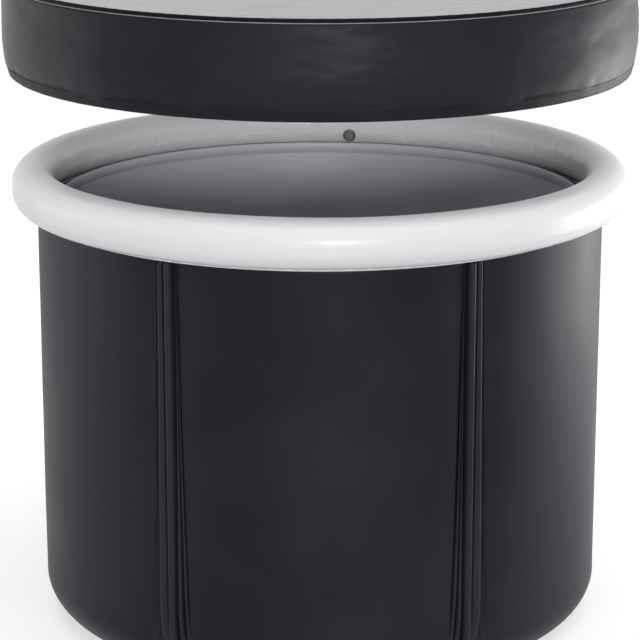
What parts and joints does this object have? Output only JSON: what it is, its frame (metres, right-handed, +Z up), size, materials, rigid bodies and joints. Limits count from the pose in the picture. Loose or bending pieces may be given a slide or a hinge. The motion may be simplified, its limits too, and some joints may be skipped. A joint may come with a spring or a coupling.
{
  "type": "portable ice bath",
  "caption": "Round portable ice bath: insulated soft tub with rod-stiffened wall, inflated rim ring, drain tap behind and a raised skirted insulated lid.",
  "frame": {"origin": "middle of the tub's underside, on the floor", "axes": "+Z up along the tub's axis, the front faces -Y and the drain tap points along +Y"},
  "size_m": [0.8839, 0.925, 0.9265],
  "materials": {
    "wall_skin": "coated fabric with a low sheen",
    "sleeve_skin": "coated fabric with a low sheen",
    "foam": "closed-cell foam",
    "liner_skin": "pale coated fabric",
    "ring_skin": "inflated film with a soft gloss",
    "valve_plastic": "moulded plastic",
    "rod_plastic": "extruded tube",
    "rod_plug_rubber": "moulded rubber",
    "tap_plastic": "moulded plastic",
    "seal_rubber": "soft rubber",
    "seat_plastic": "smooth sealing plastic",
    "ball_chrome": "polished plating",
    "stem_brass": "turned brass",
    "handle_plastic": "moulded plastic",
    "screw_steel": "plated steel",
    "lid_top_skin": "grey coated fabric with a fine brushed look",
    "lid_piping_skin": "dark coated cord",
    "lid_skirt_skin": "coated fabric with a satin sheen",
    "lid_binding_tape": "woven tape",
    "elastic": "elastic cord",
    "lid_lining": "pale lining"
  },
  "bodies": {
    "tub": {"outer_wall": "wall_skin", "base_panel": "wall_skin", "base_insulation": "foam", "wall_insulation": "foam", "inner_liner": "liner_skin", "air_ring": "ring_skin", "ring_weld_strip": "ring_skin", "valve_neck": "valve_plastic", "valve_flap": "valve_plastic", "rod_feet": "rod_plug_rubber", "rod_heads": "rod_plug_rubber", "drain_bulkhead": "tap_plastic", "drain_outer_gasket": "seal_rubber", "drain_inner_gasket": "seal_rubber", "drain_lock_nut": "tap_plastic", "tap_body": "tap_plastic", "tap_outlet": "tap_plastic", "tap_seats": "seat_plastic", "tap_stem_seal": "seal_rubber", "rod_sleeve_1": "sleeve_skin", "support_rod_1": "rod_plastic", "rod_sleeve_2": "sleeve_skin", "support_rod_2": "rod_plastic", "rod_sleeve_3": "sleeve_skin", "support_rod_3": "rod_plastic", "rod_sleeve_4": "sleeve_skin", "support_rod_4": "rod_plastic", "rod_sleeve_5": "sleeve_skin", "support_rod_5": "rod_plastic", "rod_sleeve_6": "sleeve_skin", "support_rod_6": "rod_plastic"},
    "valve_cap": {"valve_cap": "valve_plastic"},
    "tap_lever": {"tap_ball": "ball_chrome", "tap_stem": "stem_brass", "tap_handle": "handle_plastic", "tap_handle_screw": "screw_steel"},
    "lid": {"lid_top": "lid_top_skin", "lid_piping": "lid_piping_skin", "lid_skirt": "lid_skirt_skin", "lid_binding": "lid_binding_tape", "lid_elastic": "elastic", "lid_insulation": "foam", "lid_underside": "lid_lining"}
  },
  "joints": [
    {"name": "lid_lift", "type": "slide", "parent": "tub", "child": "lid", "axis": [0, 0, 1], "range_m": [-0.2155, 0.15]},
    {"name": "valve_cap_pull", "type": "slide", "parent": "tub", "child": "valve_cap", "axis": [-0.1219, -0.9925, 0], "range_m": [0, 0.014]},
    {"name": "tap_turn", "type": "hinge", "parent": "tub", "child": "tap_lever", "pos_m": [0, 0.432, 0.096], "axis": [0, 0, 1], "range_deg": [0, 90]}
  ]
}
